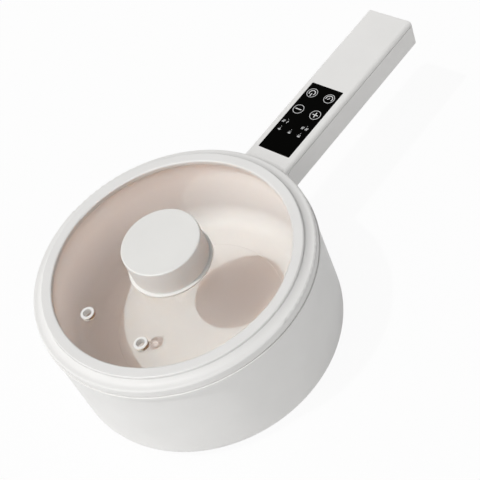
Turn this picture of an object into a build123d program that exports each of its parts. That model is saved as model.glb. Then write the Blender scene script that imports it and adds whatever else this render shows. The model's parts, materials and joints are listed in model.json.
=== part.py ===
from build123d import *
import os
from math import asin, cos, degrees, radians, sin, sqrt

# Electric hot pot with a lift-off glass lid, in millimetres.
# The origin is on the table under the middle of the pot, +Z is up, and the handle runs along +X.

os.makedirs("parts", exist_ok=True)

CLEAR = 0.2              # plain clearance round a piece that is dropped in
THREAD_CLEAR = 0.05      # radial clearance between a screw and its pilot hole

# ---------------------------------------------------------------- outer shell
BODY_R = 95.0            # outside of the shell and of the collar
SHELL_WALL = 2.2
FOOT_H = 3.0             # the foot ring lifts the shell this far off the table
BASE_ROUND = 8.0
LIP_R = 95.8             # rolled lip round the top of the shell
NOTCH_FOOT = 74.0        # notch in the rim under the handle's top
NOTCH_MARGIN = 0.4       # degrees on each side
LIP_TOP = 77.7
LIP_H = 2.3
LIP_ROUND = 0.35
SHELL_OPENING_R = 83.0   # hole in the turned-in bottom
BOSS_CIRCLE_R = 77.0     # four screw bosses stand inside the shell
BOSS_COUNT = 4
BOSS_ANGLE = 45.0
BOSS_R = 4.0
BOSS_FOOT = 7.6
BOSS_TOP = 19.0
RIB_T = 2.4
SHELL_BORE_R = BODY_R - SHELL_WALL

# ---------------------------------------------------------------- collar
COLLAR_BORE_R = 87.9     # the lid drops in here
COLLAR_CREST = 86.6      # where the cove starts beside the lid
COVE_MID = (90.2, 84.75)
COVE_END = (93.5, 84.1)
COLLAR_EDGE_MID = (94.6, 83.7)
COLLAR_EDGE_Z = 82.6
COLLAR_FOOT = 78.0       # bottom of the outer strip, over a shadow gap
SPIGOT_R = 92.6          # this ring plugs into the shell
SPIGOT_BORE_R = 90.8
SPIGOT_FOOT = 71.0

# ---------------------------------------------------------------- inner pot
POT_R = 85.0
POT_WALL = 1.6
POT_FLOOR = 23.0
POT_CORNER_R = 13.0
POT_RIM_Z = 79.0
POT_RIM_ROUND = 0.9
POT_FLANGE_R = 90.6      # the flange is held between the collar and a ring below it
POT_STEP_R = 58.5        # the middle of the floor stands a little proud
POT_STEP_H = 0.4
POT_RING_BORE_R = 87.0
POT_RING_R = SPIGOT_BORE_R - 0.05
POT_RING_T = 2.0
POT_BOTTOM = POT_FLOOR - POT_WALL
POT_FLANGE_FOOT = POT_RIM_Z - POT_WALL
SEAT_GAP = 0.05          # between the flange and what holds it

# ---------------------------------------------------------------- lid
LID_R = 87.8
LID_OPENING_R = 80.5
LID_TOP = 88.5
RIM_FOOT = 80.1
RIM_BORE_R = 84.3
RIM_INNER_ROUND = 1.1
RIM_OUTER_ROUND = 0.8
GLASS_R = 84.0
GLASS_TOP = 85.0
GLASS_T = 3.2
GLASS_ROUND = 0.8
GLASS_BOTTOM = GLASS_TOP - GLASS_T
RIM_LIP_R = 83.2         # lip that holds the glass from below
RIM_LIP_T = 0.8
SEAL_BORE_R = 84.4
SEAL_R = 87.4
SEAL_FOOT = 79.1
VENT_CIRCLE_R = 61.9
VENT_ANGLE = 22.7        # to either side of the point opposite the handle
VENT_FLANGE_R = 4.6
VENT_FLANGE_T = 0.7
VENT_TUBE_R = 3.5
VENT_BORE_R = 2.9
VENT_ROUND = 0.3

# ---------------------------------------------------------------- lid knob
KNOB_R = 26.3
KNOB_TOP = 106.0
KNOB_FOOT = 86.7
KNOB_WALL = 2.8
KNOB_ROUND = 1.0
KNOB_CORE_R = 7.5
KNOB_FLANGE_R = 28.3
KNOB_FLANGE_FOOT = 85.2
KNOB_FLANGE_TOP = 86.4
KNOB_FLANGE_ROUND = 0.4
KNOB_SPIGOT_R = 22.8
KNOB_SPIGOT_BORE_R = 20.6
KNOB_SPIGOT_TOP = 89.6
KNOB_CORE_FOOT = 88.2
PAD_T = 0.2              # gasket between the knob flange and the glass
PAD_R = 25.0
LID_HOLE_R = 3.6
INSERT_R = 4.2
INSERT_FOOT = 88.6
INSERT_TOP = 99.0
LID_SCREW_R = 2.4
LID_SCREW_TOP = 98.0
LID_SCREW_HEAD_R = 4.6
LID_SCREW_HEAD_T = 1.8
LOWER_PAD_R = 12.0
LOWER_PAD_T = 0.8
WASHER_R = 9.0
WASHER_T = 0.8

# ---------------------------------------------------------------- handle
HANDLE_END = 247.0
HANDLE_W = 37.0
HANDLE_TOP = 78.0
HANDLE_FOOT = 56.5
HANDLE_SKIN = 2.2        # thickness of the handle's top
HANDLE_WALL = 2.4
SEAM_Z = 74.8            # the top cover is above this line, the handle base below
SEAM_GAP = 0.5
ROOT_FLARE_R = 8.0       # rounding in plan where the handle leaves the collar
ROOT_BLEND = 4.4         # concave blend from the collar down to the handle top
ROOT_BLEND_EASE = 4.6
EDGE_ROUND = 2.4
END_ROUND = 0.8
FOOT_ROUND = 2.0
CHEEK_R = 9.0            # the top cover turns down behind the collar
CHEEK_X = 105.0
CHEEK_FOOT = 69.5
ROOT_GAP = 0.25
ROOT_WALL = 2.6
TONGUE_T = 1.0
TONGUE_FOOT = 71.0
TONGUE_TOP = 75.5
WIRE_SLOT_Z = 65.0       # slot for the wires between body and handle
WIRE_SLOT = (17.0, 8.0)
ROOT_SCREW_ANGLE = 7.6
ROOT_BOSS_R = 3.4
ROOT_BOSS_L = 6.0
BRACKET_T = 1.5
BRACKET_ANGLE = 11.0
BRACKET_Z = (58.0, 70.6)
HANDLE_SCREW_X = (175.5, 238.5)
HANDLE_BOSS_R = 3.6
HANDLE_BOSS_FOOT = 59.2

# ---------------------------------------------------------------- control panel
PANEL_X = (107.0, 170.6)
PANEL_W = 26.6
PANEL_T = 0.8
PANEL_ROUND = 0.6
WINDOW_MARGIN = 2.2
KEY_X = (145.0, 162.0)
KEY_Y = 6.3
LED_SPOTS = ((132.5, 5.6), (132.5, -5.6), (124.5, 7.0), (124.5, 0.0), (124.5, -7.0))
LED_SIZE = (3.2, 2.4, 1.4)
TOUCH_BOARD_Z = 70.4
BOARD_T = 1.6
SPRING_R = 3.2
SPRING_WIRE_R = 0.3
SPRING_PITCH = 1.4
SHIELD_HOLE_R = 4.2
CHIP_SIZE = (7.0, 7.0, 1.4)
PILLAR_R = 2.0
PILLAR_X = (111.0, 166.6)
PILLAR_Y = 11.2

# ---------------------------------------------------------------- power board
POWER_BOARD_X = (181.0, 233.0)
POWER_BOARD_W = 28.0
POWER_BOARD_Z = 63.0
RELAY_SIZE = (19.0, 15.0, 9.6)
RELAY_X = 222.0
CAPACITOR_SIZE = (13.0, 6.0, 9.0)
CAPACITOR_SPOT = (200.0, -7.5)
COMPONENT_ROUND = 0.4
FUSE_R = 2.5
FUSE_L = 14.0
FUSE_SPOT = (199.0, 7.5)
TERMINAL_SIZE = (7.0, 22.0, 5.2)
TERMINAL_X = 186.0
STANDOFF_R = 2.6
BOARD_SCREW_SPOTS = ((192.5, 0.0), (209.5, 10.5))

# ---------------------------------------------------------------- base and heater
COVER_R = 82.7
COVER_T = 2.0
COVER_STEP_BORE_R = 79.5
COVER_STEP_R = 88.0
COVER_STEP_Z = (5.4, 7.4)
COVER_PAD_R = 5.4
FOOT_RING_R = (62.0, 70.0)
FOOT_RING_TOP = 4.0
FOOT_RING_ROUND = 0.8
SLOT_COUNT = 18
SLOT_CIRCLE_R = 42.0
SLOT_L = 18.0
SLOT_W = 2.2
HEATER_R = 54.0
HEATER_T = 3.5
HEATER_HOLE_R = 9.0
ELEMENT_R = 40.0
ELEMENT_TUBE_R = 3.2
ELEMENT_GAP_ANGLE = 25.0
ELEMENT_BEND_R = 8.0
ELEMENT_LEG = 14.0
TERMINAL_TAB = (9.0, 6.3, 0.8)
CERAMIC_R = 2.4
CERAMIC_L = 5.0
HEAT_SHIELD_R = 70.0
HEAT_SHIELD_Z = 9.4
HEAT_SHIELD_T = 0.6
HEAT_SHIELD_RIM_TOP = 17.0
STUD_CIRCLE_R = 60.5
STUD_R = 2.5
STUD_FOOT = 6.3
STUD_ANGLE = 60.0
STUD_COUNT = 3
NUT_R = 4.6
NUT_SIDES = 6
NUT_T = 3.0
SENSOR_R = 7.0
SENSOR_WALL = 1.0
SENSOR_CAP_T = 2.0
SENSOR_FLANGE_R = 8.4
SENSOR_FOOT = 15.0
SENSOR_SPRING_R = 4.6
SENSOR_WIRE_R = 0.4
SENSOR_PITCH = 1.6
CUTOUT_X = -24.0
CUTOUT_R = 2.0
CUTOUT_L = 12.0
CLIP_T = 0.6
CLIP_SPAN = 12.0
CLIP_W = 5.0
GLAND_Z = 25.0
GLAND_NECK_R = 4.9
GLAND_BORE_R = 3.3
GLAND_FLANGE_R = 7.5
GLAND_FLANGE_T = 2.4
GLAND_COLLAR_T = 1.2     # inner collar that keeps it in the wall
GLAND_BEVEL = 1.0
LEAD_R = 1.2
LEAD_SHIFT = 6.0         # length over which a lead changes height
LEAD_BEND = 3.0
MAINS_BEND = 2.2
PIT_R = 88.9             # leads rise in the space between pot and shell
HEATER_LEAD_Y = (6.8, 7.9)        # beside the middle plane, at the slot and at the handle post
MAINS_LEAD_Y = (2.0, 4.2, 5.1)    # the same, with the cord gland first
POST_RUN_X = 173.0
SENSOR_LEAD_R = 0.6
SENSOR_PIT_R = 87.7
SENSOR_PLUG_X = 120.0
RIBBON = (4.6, 0.4)
RIBBON_Y = -6.1
RIBBON_BEND = 1.2
RIBBON_PLUG_X = 191.2

# ---------------------------------------------------------------- screws
SCREW_R = 1.4
SCREW_HEAD_R = 2.8
SCREW_HEAD_T = 2.0
RECESS_W = 0.8
RECESS_L = 3.4
RECESS_DEPTH = 1.1
PILOT_R = SCREW_R + THREAD_CLEAR
SCREW_PASS_R = 1.7
SCREW_POCKET_R = 3.2
BASE_SCREW_L = 10.0
HANDLE_SCREW_L = 9.0
ROOT_SCREW_L = 9.5
BOARD_SCREW_L = 3.6

WORLD = 400.0            # larger than the whole pot, for cuts that run right through
THROUGH = 7.0            # enough to cut through any one wall
SINK = 1.0               # how far joined shapes run into each other


def keep(piece, name):
    """Label a finished piece and write its file."""
    piece.part.label = name
    export_step(piece.part, f"parts/{name}.step")


def round_corner(sketch, spot, radius):
    """Round the corner of a profile that lies nearest a spot."""
    fillet(sketch.vertices().sort_by_distance(spot)[0], radius=radius)


def side_plane(radius, angle, height):
    """A plane on the pot's side, facing away from the axis."""
    turn = radians(angle)
    return Plane(
        origin=(radius * cos(turn), radius * sin(turn), height),
        x_dir=(-sin(turn), cos(turn), 0),
        z_dir=(cos(turn), sin(turn), 0),
    )


def add_screw(seat, length, head_r=SCREW_HEAD_R, head_t=SCREW_HEAD_T, shank_r=SCREW_R):
    """A pan-head screw: the head stands on the seat plane and the shank runs behind it."""
    with BuildSketch(seat) as head:
        Circle(head_r)
    extrude(head.sketch, amount=head_t)
    with BuildSketch(seat) as shank:
        Circle(shank_r)
    extrude(shank.sketch, amount=-length)
    with BuildSketch(seat.offset(head_t)) as recess:
        Rectangle(RECESS_L, RECESS_W)
        Rectangle(RECESS_W, RECESS_L)
    extrude(recess.sketch, amount=-RECESS_DEPTH, mode=Mode.SUBTRACT)


def add_wire(points, radius, bend):
    """A round wire along straight runs with rounded bends."""
    with BuildLine() as route:
        FilletPolyline(*points, radius=bend)
    with BuildSketch(Plane(origin=route.line @ 0, z_dir=route.line % 0)) as section:
        Circle(radius)
    sweep(section.sketch, path=route.line)


def add_coil(radius, wire_r, pitch, foot, top, spot=(0, 0)):
    """A round coil spring that stands between two heights."""
    start = foot + wire_r
    height = top - foot - 2 * wire_r
    centre = (spot[0], spot[1], start)
    coil = Helix(pitch=pitch, height=height, radius=radius, center=centre, mode=Mode.PRIVATE)
    with BuildSketch(Plane(origin=coil @ 0, z_dir=coil % 0)) as section:
        Circle(wire_r)
    sweep(section.sketch, path=coil)


# ================================================================ lid
vent_points = [
    (VENT_CIRCLE_R * cos(radians(180 + turn)), VENT_CIRCLE_R * sin(radians(180 + turn)))
    for turn in (-VENT_ANGLE, VENT_ANGLE)
]

with BuildPart() as lid_glass:
    with BuildSketch(Plane.XZ) as glass_section:
        with Locations((GLASS_R / 2, GLASS_TOP - GLASS_T / 2)):
            Rectangle(GLASS_R, GLASS_T)
        for height in (GLASS_BOTTOM, GLASS_TOP):
            round_corner(glass_section, (GLASS_R, height), GLASS_ROUND)
    revolve(axis=Axis.Z)
    with BuildSketch(Plane.XY.offset(GLASS_BOTTOM)):
        Circle(LID_HOLE_R)
        with Locations(*vent_points):
            Circle(VENT_TUBE_R + CLEAR)
    extrude(amount=GLASS_T, mode=Mode.SUBTRACT)
keep(lid_glass, "lid_glass")

RIM_LIP_TOP = GLASS_BOTTOM - THREAD_CLEAR
with BuildPart() as lid_rim:
    with BuildSketch(Plane.XZ) as rim_section:
        Polygon(
            (LID_OPENING_R, GLASS_TOP + CLEAR),
            (RIM_BORE_R, GLASS_TOP + CLEAR),
            (RIM_BORE_R, RIM_LIP_TOP),
            (RIM_LIP_R, RIM_LIP_TOP),
            (RIM_LIP_R, RIM_LIP_TOP - RIM_LIP_T),
            (RIM_BORE_R, RIM_LIP_TOP - RIM_LIP_T),
            (RIM_BORE_R, RIM_FOOT),
            (LID_R, RIM_FOOT),
            (LID_R, LID_TOP),
            (LID_OPENING_R, LID_TOP),
            align=None,
        )
        round_corner(rim_section, (LID_OPENING_R, LID_TOP), RIM_INNER_ROUND)
        round_corner(rim_section, (LID_R, LID_TOP), RIM_OUTER_ROUND)
    revolve(axis=Axis.Z)
keep(lid_rim, "lid_rim")

with BuildPart() as lid_seal:
    with BuildSketch(Plane.XY.offset(SEAL_FOOT)):
        Circle(SEAL_R)
        Circle(SEAL_BORE_R, mode=Mode.SUBTRACT)
    extrude(amount=RIM_FOOT - THREAD_CLEAR - SEAL_FOOT)
keep(lid_seal, "lid_seal")

for (vent_x, vent_y), side in zip(vent_points, ("left", "right")):
    with BuildPart() as vent_eyelet:
        for foot in (GLASS_TOP, GLASS_BOTTOM - VENT_FLANGE_T):
            with BuildSketch(Plane.XY.offset(foot)):
                with Locations((vent_x, vent_y)):
                    Circle(VENT_FLANGE_R)
            extrude(amount=VENT_FLANGE_T)
        outer_rims = vent_eyelet.edges().group_by(Axis.Z)
        fillet(outer_rims[0] + outer_rims[-1], radius=VENT_ROUND)
        with BuildSketch(Plane.XY.offset(GLASS_BOTTOM)):
            with Locations((vent_x, vent_y)):
                Circle(VENT_TUBE_R)
        extrude(amount=GLASS_T)
        with BuildSketch(Plane.XY):
            with Locations((vent_x, vent_y)):
                Circle(VENT_BORE_R)
        extrude(amount=WORLD, mode=Mode.SUBTRACT)
    keep(vent_eyelet, f"vent_eyelet_{side}")

with BuildPart() as lid_knob:
    with BuildSketch(Plane.XZ) as knob_section:
        Polygon(
            (0, KNOB_CORE_FOOT),
            (KNOB_CORE_R, KNOB_CORE_FOOT),
            (KNOB_CORE_R, KNOB_TOP - KNOB_WALL),
            (KNOB_R - KNOB_WALL, KNOB_TOP - KNOB_WALL),
            (KNOB_R - KNOB_WALL, KNOB_FOOT),
            (KNOB_R, KNOB_FOOT),
            (KNOB_R, KNOB_TOP),
            (0, KNOB_TOP),
            align=None,
        )
        round_corner(knob_section, (KNOB_R, KNOB_TOP), KNOB_ROUND)
    revolve(axis=Axis.Z)
    with BuildSketch(Plane.XY.offset(KNOB_CORE_FOOT)):
        Circle(INSERT_R)
    extrude(amount=INSERT_TOP - KNOB_CORE_FOOT, mode=Mode.SUBTRACT)
keep(lid_knob, "lid_knob")

with BuildPart() as knob_insert:
    with BuildSketch(Plane.XY.offset(INSERT_FOOT)):
        Circle(INSERT_R - THREAD_CLEAR)
        Circle(LID_SCREW_R + THREAD_CLEAR, mode=Mode.SUBTRACT)
    extrude(amount=INSERT_TOP - INSERT_FOOT)
keep(knob_insert, "knob_insert")

with BuildPart() as knob_flange:
    with BuildSketch(Plane.XZ) as flange_section:
        Polygon(
            (LID_HOLE_R, KNOB_FLANGE_FOOT),
            (KNOB_FLANGE_R, KNOB_FLANGE_FOOT),
            (KNOB_FLANGE_R, KNOB_FLANGE_TOP),
            (KNOB_SPIGOT_R, KNOB_FLANGE_TOP),
            (KNOB_SPIGOT_R, KNOB_SPIGOT_TOP),
            (KNOB_SPIGOT_BORE_R, KNOB_SPIGOT_TOP),
            (KNOB_SPIGOT_BORE_R, KNOB_FLANGE_TOP),
            (LID_HOLE_R, KNOB_FLANGE_TOP),
            align=None,
        )
        round_corner(flange_section, (KNOB_FLANGE_R, KNOB_FLANGE_TOP), KNOB_FLANGE_ROUND)
    revolve(axis=Axis.Z)
keep(knob_flange, "knob_flange")

with BuildPart() as knob_pad:
    with BuildSketch(Plane.XY.offset(GLASS_TOP)):
        Circle(PAD_R)
        Circle(LID_HOLE_R, mode=Mode.SUBTRACT)
    extrude(amount=PAD_T)
keep(knob_pad, "knob_pad")

with BuildPart() as lower_pad:
    with BuildSketch(Plane.XY.offset(GLASS_BOTTOM - LOWER_PAD_T)):
        Circle(LOWER_PAD_R)
        Circle(LID_HOLE_R, mode=Mode.SUBTRACT)
    extrude(amount=LOWER_PAD_T)
keep(lower_pad, "knob_lower_pad")

WASHER_FOOT = GLASS_BOTTOM - LOWER_PAD_T - WASHER_T
with BuildPart() as knob_washer:
    with BuildSketch(Plane.XY.offset(WASHER_FOOT)):
        Circle(WASHER_R)
        Circle(LID_SCREW_R + CLEAR, mode=Mode.SUBTRACT)
    extrude(amount=WASHER_T)
keep(knob_washer, "knob_washer")

with BuildPart() as knob_screw:
    seat = Plane(origin=(0, 0, WASHER_FOOT), z_dir=(0, 0, -1))
    add_screw(seat, LID_SCREW_TOP - WASHER_FOOT, LID_SCREW_HEAD_R, LID_SCREW_HEAD_T, LID_SCREW_R)
keep(knob_screw, "knob_screw")

# ================================================================ top cover: collar and handle top
HALF_W = HANDLE_W / 2
ROOT_ANGLE = degrees(asin((HALF_W + ROOT_FLARE_R) / (BODY_R + ROOT_FLARE_R)))
ROOT_X = BODY_R * cos(radians(ROOT_ANGLE))
HANDLE_ROOT_X = sqrt(BODY_R**2 - HALF_W**2)
BASE_TOP = SEAM_Z - SEAM_GAP
CAVITY_HALF_W = HALF_W - HANDLE_WALL
LONG_SIDE = HALF_W - SINK    # edges further out than this belong to the handle's long sides

# the handle seen from above, flared onto the collar at its root
with BuildSketch(Plane.XY.offset(SEAM_Z)) as handle_outline:
    with Locations((HANDLE_END / 2, 0)):
        Rectangle(HANDLE_END, HANDLE_W)
    Circle(BODY_R)
    for side_y in (-HALF_W, HALF_W):
        round_corner(handle_outline, (HANDLE_ROOT_X, side_y), ROOT_FLARE_R)
    with Locations(((ROOT_X + WORLD) / 2, 0)):
        Rectangle(WORLD - ROOT_X, WORLD, mode=Mode.INTERSECT)
    Circle(SPIGOT_BORE_R, mode=Mode.SUBTRACT)

# the handle base seen from the side, with a large round where the top cover turns down behind the collar
with BuildSketch(Plane.XZ.offset(-HALF_W)) as base_side:
    Polygon(
        (HANDLE_ROOT_X, HANDLE_FOOT),
        (HANDLE_END, HANDLE_FOOT),
        (HANDLE_END, BASE_TOP),
        (HANDLE_ROOT_X, BASE_TOP),
        align=None,
    )
    round_corner(base_side, (HANDLE_ROOT_X, BASE_TOP), CHEEK_R)

with BuildSketch(Plane.XZ.offset(-HALF_W)) as cheek_side:
    Polygon(
        (HANDLE_ROOT_X - ROOT_WALL, CHEEK_FOOT),
        (CHEEK_X, CHEEK_FOOT),
        (CHEEK_X, SEAM_Z + CLEAR),
        (HANDLE_ROOT_X - ROOT_WALL, SEAM_Z + CLEAR),
        align=None,
    )
    add(offset(base_side.sketch_local, amount=SEAM_GAP, mode=Mode.PRIVATE), mode=Mode.SUBTRACT)

# soft-topped block inside the handle's rounded edges, which trims the blend at the root
RIDGE_HALF_W = HALF_W - EDGE_ROUND
RIDGE_R = BODY_R - EDGE_ROUND
with BuildPart() as root_ease:
    with BuildSketch(Plane.XY.offset(HANDLE_TOP - SINK)) as ridge_outline:
        with Locations((HANDLE_END / 2, 0)):
            Rectangle(HANDLE_END, 2 * RIDGE_HALF_W)
        Circle(RIDGE_R)
        for side_y in (-RIDGE_HALF_W, RIDGE_HALF_W):
            round_corner(ridge_outline, (RIDGE_R, side_y), ROOT_FLARE_R + EDGE_ROUND)
    extrude(amount=ROOT_BLEND + 2 * SINK)
    ease_edges = root_ease.edges().group_by(Axis.Z)[-1]
    fillet(ease_edges.filter_by(lambda edge: abs(edge.center().Y) > RIDGE_HALF_W - SINK), ROOT_BLEND_EASE)

# concave blend that runs the collar's wall out onto the handle's top and dies away at its edges
with BuildPart() as root_blend:
    with BuildSketch(Plane.XZ):
        with BuildLine():
            fall = CenterArc((BODY_R + ROOT_BLEND, HANDLE_TOP + ROOT_BLEND), ROOT_BLEND, 180, 90)
            Polyline(
                fall @ 1,
                (BODY_R + ROOT_BLEND, HANDLE_TOP - SINK),
                (BODY_R - SINK, HANDLE_TOP - SINK),
                (BODY_R - SINK, HANDLE_TOP + ROOT_BLEND),
                fall @ 0,
            )
        make_face()
    revolve(axis=Axis.Z)
    add(root_ease.part, mode=Mode.INTERSECT)

COLLAR_SEAT_Z = POT_RIM_Z + SEAT_GAP
with BuildPart() as collar:
    with BuildSketch(Plane.XZ):
        with BuildLine():
            bore = Polyline(
                (SPIGOT_BORE_R, COLLAR_SEAT_Z),
                (COLLAR_BORE_R, COLLAR_SEAT_Z),
                (COLLAR_BORE_R, COLLAR_CREST),
            )
            cove = ThreePointArc(bore @ 1, COVE_MID, COVE_END)
            edge = ThreePointArc(cove @ 1, COLLAR_EDGE_MID, (BODY_R, COLLAR_EDGE_Z))
            Polyline(
                edge @ 1,
                (BODY_R, COLLAR_FOOT),
                (SPIGOT_R, COLLAR_FOOT),
                (SPIGOT_R, SPIGOT_FOOT),
                (SPIGOT_BORE_R, SPIGOT_FOOT),
                (SPIGOT_BORE_R, COLLAR_SEAT_Z),
            )
        make_face()
    revolve(axis=Axis.Z)

with BuildPart() as top_cover:
    # the handle's top, rounded along its sides and eased at its end
    extrude(handle_outline.sketch, amount=HANDLE_TOP - SEAM_Z)
    top_edges = top_cover.edges().group_by(Axis.Z)[-1]
    fillet(top_edges.filter_by(lambda edge: abs(edge.center().Y) > LONG_SIDE), EDGE_ROUND)
    end_edges = top_cover.edges().group_by(Axis.X)[-1]
    fillet(end_edges.filter_by(lambda edge: edge.center().Z > SEAM_Z + CLEAR), END_ROUND)
    # cheeks that close the sides behind the collar
    extrude(cheek_side.sketch, amount=HANDLE_W)
    with BuildSketch(Plane.XY.offset(CHEEK_FOOT)):
        Circle(BODY_R + CLEAR)
    extrude(amount=SEAM_Z - CHEEK_FOOT, mode=Mode.SUBTRACT)
    # hollow inside the handle, open at the bottom
    with BuildSketch(Plane.XY.offset(CHEEK_FOOT)):
        with Locations(((BODY_R + HANDLE_END - HANDLE_WALL) / 2, 0)):
            Rectangle(HANDLE_END - HANDLE_WALL - BODY_R, 2 * CAVITY_HALF_W)
        Circle(BODY_R + ROOT_WALL, mode=Mode.SUBTRACT)
    extrude(amount=HANDLE_TOP - HANDLE_SKIN - CHEEK_FOOT, mode=Mode.SUBTRACT)
    add(collar.part)
    add(root_blend.part)
    # seat of the touch panel and the window under it
    panel_mid = sum(PANEL_X) / 2
    panel_l = PANEL_X[1] - PANEL_X[0]
    with BuildSketch(Plane.XY.offset(HANDLE_TOP)):
        with Locations((panel_mid, 0)):
            RectangleRounded(panel_l + CLEAR, PANEL_W + CLEAR, PANEL_ROUND + CLEAR / 2)
    extrude(amount=-PANEL_T, mode=Mode.SUBTRACT)
    with BuildSketch(Plane.XY.offset(HANDLE_TOP)):
        with Locations((panel_mid, 0)):
            Rectangle(panel_l - 2 * WINDOW_MARGIN, PANEL_W - 2 * WINDOW_MARGIN)
    extrude(amount=-2 * HANDLE_SKIN, mode=Mode.SUBTRACT)
    # posts for the handle screws
    with BuildSketch(Plane.XY.offset(HANDLE_BOSS_FOOT)):
        with Locations(*[(x, 0) for x in HANDLE_SCREW_X]):
            Circle(HANDLE_BOSS_R)
    extrude(amount=HANDLE_TOP - HANDLE_SKIN - HANDLE_BOSS_FOOT)
    with BuildSketch(Plane.XY.offset(HANDLE_BOSS_FOOT)):
        with Locations(*[(x, 0) for x in HANDLE_SCREW_X]):
            Circle(PILOT_R)
    extrude(amount=HANDLE_SCREW_L, mode=Mode.SUBTRACT)
keep(top_cover, "top_cover")

# ================================================================ handle base
TONGUE_Y = CAVITY_HALF_W - TONGUE_T / 2
TONGUE_MID_X = (CHEEK_X + HANDLE_END - HANDLE_WALL) / 2
PILLAR_SPOTS = [(x, y) for x in PILLAR_X for y in (-PILLAR_Y, PILLAR_Y)]
STANDOFF_X = POWER_BOARD_X[1] - STANDOFF_R
STANDOFF_SPOTS = [(STANDOFF_X, -PILLAR_Y), (STANDOFF_X, PILLAR_Y), *BOARD_SCREW_SPOTS]
FLOOR_Z = HANDLE_FOOT + HANDLE_WALL

with BuildPart() as handle_base:
    extrude(base_side.sketch, amount=HANDLE_W)
    foot_edges = handle_base.edges().group_by(Axis.Z)[0].filter_by(Axis.X)
    fillet(foot_edges, FOOT_ROUND)
    end_edges = handle_base.edges().group_by(Axis.X)[-1]
    fillet(end_edges.filter_by(lambda edge: edge.center().Z < BASE_TOP - CLEAR), END_ROUND)
    with BuildSketch(Plane.XY.offset(HANDLE_FOOT)):
        Circle(BODY_R + ROOT_GAP)
    extrude(amount=WORLD, mode=Mode.SUBTRACT)
    with BuildSketch(Plane.XY.offset(FLOOR_Z)):
        with Locations(((BODY_R + HANDLE_END - HANDLE_WALL) / 2, 0)):
            Rectangle(HANDLE_END - HANDLE_WALL - BODY_R, 2 * CAVITY_HALF_W)
        Circle(BODY_R + ROOT_GAP + ROOT_WALL, mode=Mode.SUBTRACT)
    extrude(amount=WORLD, mode=Mode.SUBTRACT)
    # tongues that stand up inside the top cover behind the seam
    with BuildSketch(Plane.XY.offset(TONGUE_FOOT)):
        with Locations((TONGUE_MID_X, -TONGUE_Y), (TONGUE_MID_X, TONGUE_Y)):
            Rectangle(HANDLE_END - HANDLE_WALL - CHEEK_X, TONGUE_T)
    extrude(amount=TONGUE_TOP - TONGUE_FOOT)
    # pillars under the touch board and stand-offs under the power board
    for spots, radius, top in (
        (PILLAR_SPOTS, PILLAR_R, TOUCH_BOARD_Z),
        (STANDOFF_SPOTS, STANDOFF_R, POWER_BOARD_Z),
    ):
        with BuildSketch(Plane.XY.offset(FLOOR_Z)):
            with Locations(*spots):
                Circle(radius)
        extrude(amount=top - FLOOR_Z)
    # bosses and pilot holes for the root screws, and the slot for the wires
    for angle in (-ROOT_SCREW_ANGLE, ROOT_SCREW_ANGLE):
        with BuildSketch(side_plane(BODY_R + ROOT_GAP + ROOT_WALL - SINK, angle, WIRE_SLOT_Z)):
            Circle(ROOT_BOSS_R)
        extrude(amount=ROOT_BOSS_L + SINK)
        with BuildSketch(side_plane(BODY_R, angle, WIRE_SLOT_Z)):
            Circle(PILOT_R)
        extrude(amount=ROOT_SCREW_L - ROOT_WALL, mode=Mode.SUBTRACT)
    with BuildSketch(side_plane(SHELL_BORE_R, 0, WIRE_SLOT_Z)):
        SlotOverall(*WIRE_SLOT)
    extrude(amount=THROUGH, mode=Mode.SUBTRACT)
    # pilot holes for the board screws, and recessed holes for the handle screws
    with BuildSketch(Plane.XY.offset(FLOOR_Z)):
        with Locations(*BOARD_SCREW_SPOTS):
            Circle(PILOT_R)
    extrude(amount=POWER_BOARD_Z - FLOOR_Z, mode=Mode.SUBTRACT)
    for radius, depth in ((SCREW_PASS_R, HANDLE_WALL), (SCREW_POCKET_R, HANDLE_WALL / 2)):
        with BuildSketch(Plane.XY.offset(HANDLE_FOOT)):
            with Locations(*[(x, 0) for x in HANDLE_SCREW_X]):
                Circle(radius)
        extrude(amount=depth, mode=Mode.SUBTRACT)
keep(handle_base, "handle_base")

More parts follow.
